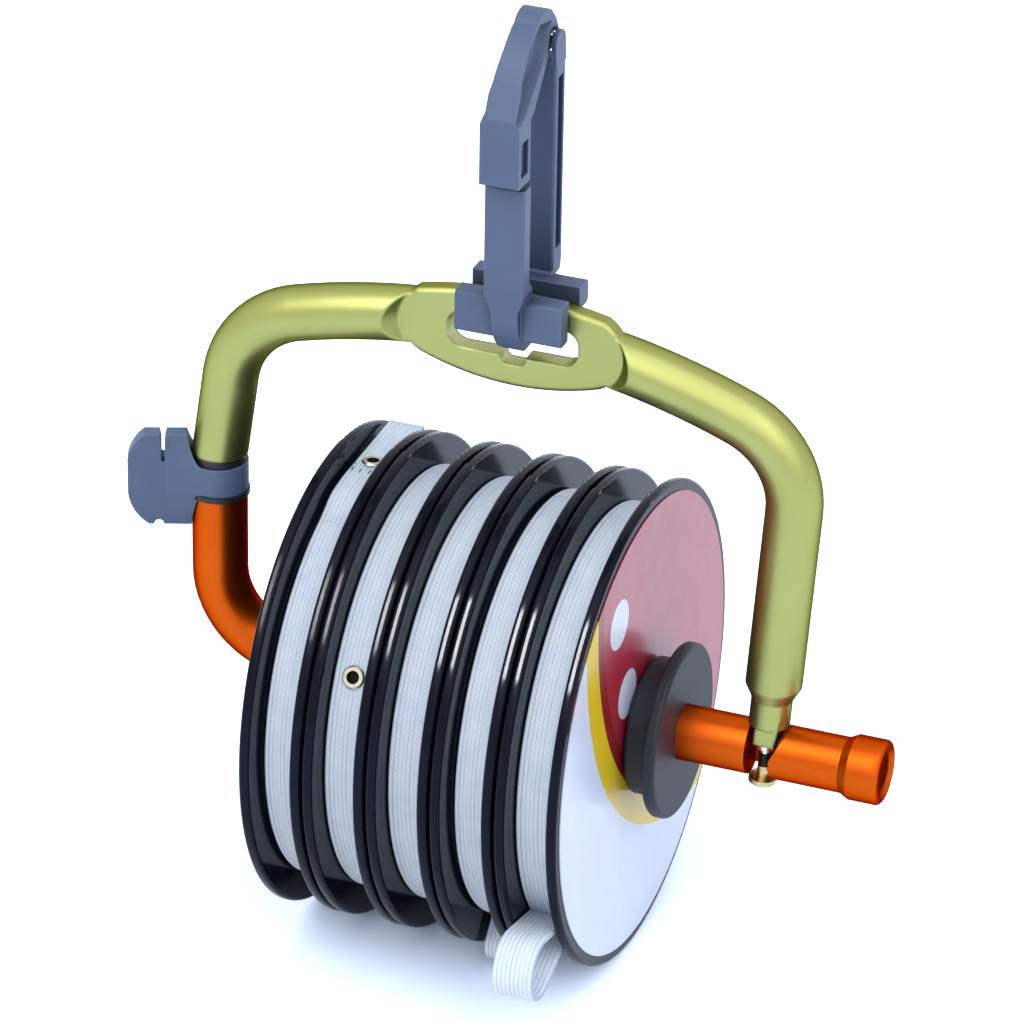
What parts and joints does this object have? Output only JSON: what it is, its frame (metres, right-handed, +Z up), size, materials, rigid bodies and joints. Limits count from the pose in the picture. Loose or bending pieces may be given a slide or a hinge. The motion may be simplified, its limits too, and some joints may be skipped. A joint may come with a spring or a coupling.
{
  "type": "tippet holder",
  "caption": "Tippet holder: line spools on a bent bar under an arched arm that latches shut, with a swivelling line nipper and a sprung hanging clip.",
  "frame": {"origin": "where the axis of the upright leg crosses the axis of the spool bar", "axes": "+X along the spool bar to its end cap, +Y to the back, +Z up to the clip"},
  "size_m": [0.0969, 0.0632, 0.1195],
  "materials": {
    "orange_anodised": "satin anodised",
    "green_anodised": "satin anodised",
    "polished_steel": "turned and polished",
    "black_washer": "moulded nylon",
    "blue_grey_plastic": "moulded, satin",
    "grey_rubber": "moulded, matt",
    "black_plastic": "moulded, semi-gloss",
    "clear_line": "wound clear line",
    "white_elastic": "woven elastic",
    "brass": "rolled",
    "printed_label": "printed film"
  },
  "bodies": {
    "clip": {"clip_body": "blue_grey_plastic", "clip_hinge_pin": "polished_steel", "gate_spring": "polished_steel"},
    "gate": {"clip_gate": "blue_grey_plastic"},
    "arm": {"upper_arm": "green_anodised", "latch_stud": "polished_steel", "upper_washer": "black_washer"},
    "bar": {"rod": "orange_anodised", "end_cap": "orange_anodised", "pivot_pin": "polished_steel", "snap_ring": "polished_steel", "lower_washer": "black_washer"},
    "nipper": {"cutter_body": "blue_grey_plastic", "cutter_blade": "polished_steel"},
    "stop": {"spool_stop": "grey_rubber"},
    "reel_1": {"spool_1": "black_plastic", "line_1": "clear_line", "band_1": "white_elastic", "eyelet_1": "brass"},
    "reel_2": {"spool_2": "black_plastic", "line_2": "clear_line", "band_2": "white_elastic", "eyelet_2": "brass"},
    "reel_3": {"spool_3": "black_plastic", "line_3": "clear_line", "band_3": "white_elastic", "eyelet_3": "brass"},
    "reel_4": {"spool_4": "black_plastic", "line_4": "clear_line", "band_4": "white_elastic", "eyelet_4": "brass"},
    "reel_5": {"spool_5": "black_plastic", "line_5": "clear_line", "band_5": "white_elastic", "eyelet_5": "brass", "label_5": "printed_label"}
  },
  "joints": [
    {"name": "clip_tilt", "type": "hinge", "parent": "clip", "child": "arm", "pos_m": [0.0387, 0, 0.05115], "axis": [1, 0, 0], "range_deg": [-5, 5]},
    {"name": "gate_swing", "type": "hinge", "parent": "clip", "child": "gate", "pos_m": [0.0387, 0.0052, 0.0846], "axis": [-1, 0, 0], "range_deg": [0, 60], "stiffness_Nm_per_rad": 0.02, "springref_deg": -28.65},
    {"name": "arm_swing", "type": "hinge", "parent": "arm", "child": "bar", "pos_m": [0, 0, 0.0259], "axis": [0, 0, 1], "range_deg": [0, 120]},
    {"name": "nipper_swivel", "type": "hinge", "parent": "bar", "child": "nipper", "pos_m": [0, 0, 0.0229], "axis": [0, 0, 1], "range_deg": [-95, 60]},
    {"name": "stop_slide", "type": "slide", "parent": "bar", "child": "stop", "axis": [1, 0, 0], "range_m": [0, 0.007]},
    {"name": "reel_1_spin", "type": "hinge", "parent": "bar", "child": "reel_1", "pos_m": [0.0153, 0, 0], "axis": [1, 0, 0], "continuous": true},
    {"name": "reel_2_spin", "type": "hinge", "parent": "bar", "child": "reel_2", "pos_m": [0.0234, 0, 0], "axis": [1, 0, 0], "continuous": true},
    {"name": "reel_3_spin", "type": "hinge", "parent": "bar", "child": "reel_3", "pos_m": [0.0315, 0, 0], "axis": [1, 0, 0], "continuous": true},
    {"name": "reel_4_spin", "type": "hinge", "parent": "bar", "child": "reel_4", "pos_m": [0.0396, 0, 0], "axis": [1, 0, 0], "continuous": true},
    {"name": "reel_5_spin", "type": "hinge", "parent": "bar", "child": "reel_5", "pos_m": [0.0477, 0, 0], "axis": [1, 0, 0], "continuous": true}
  ]
}
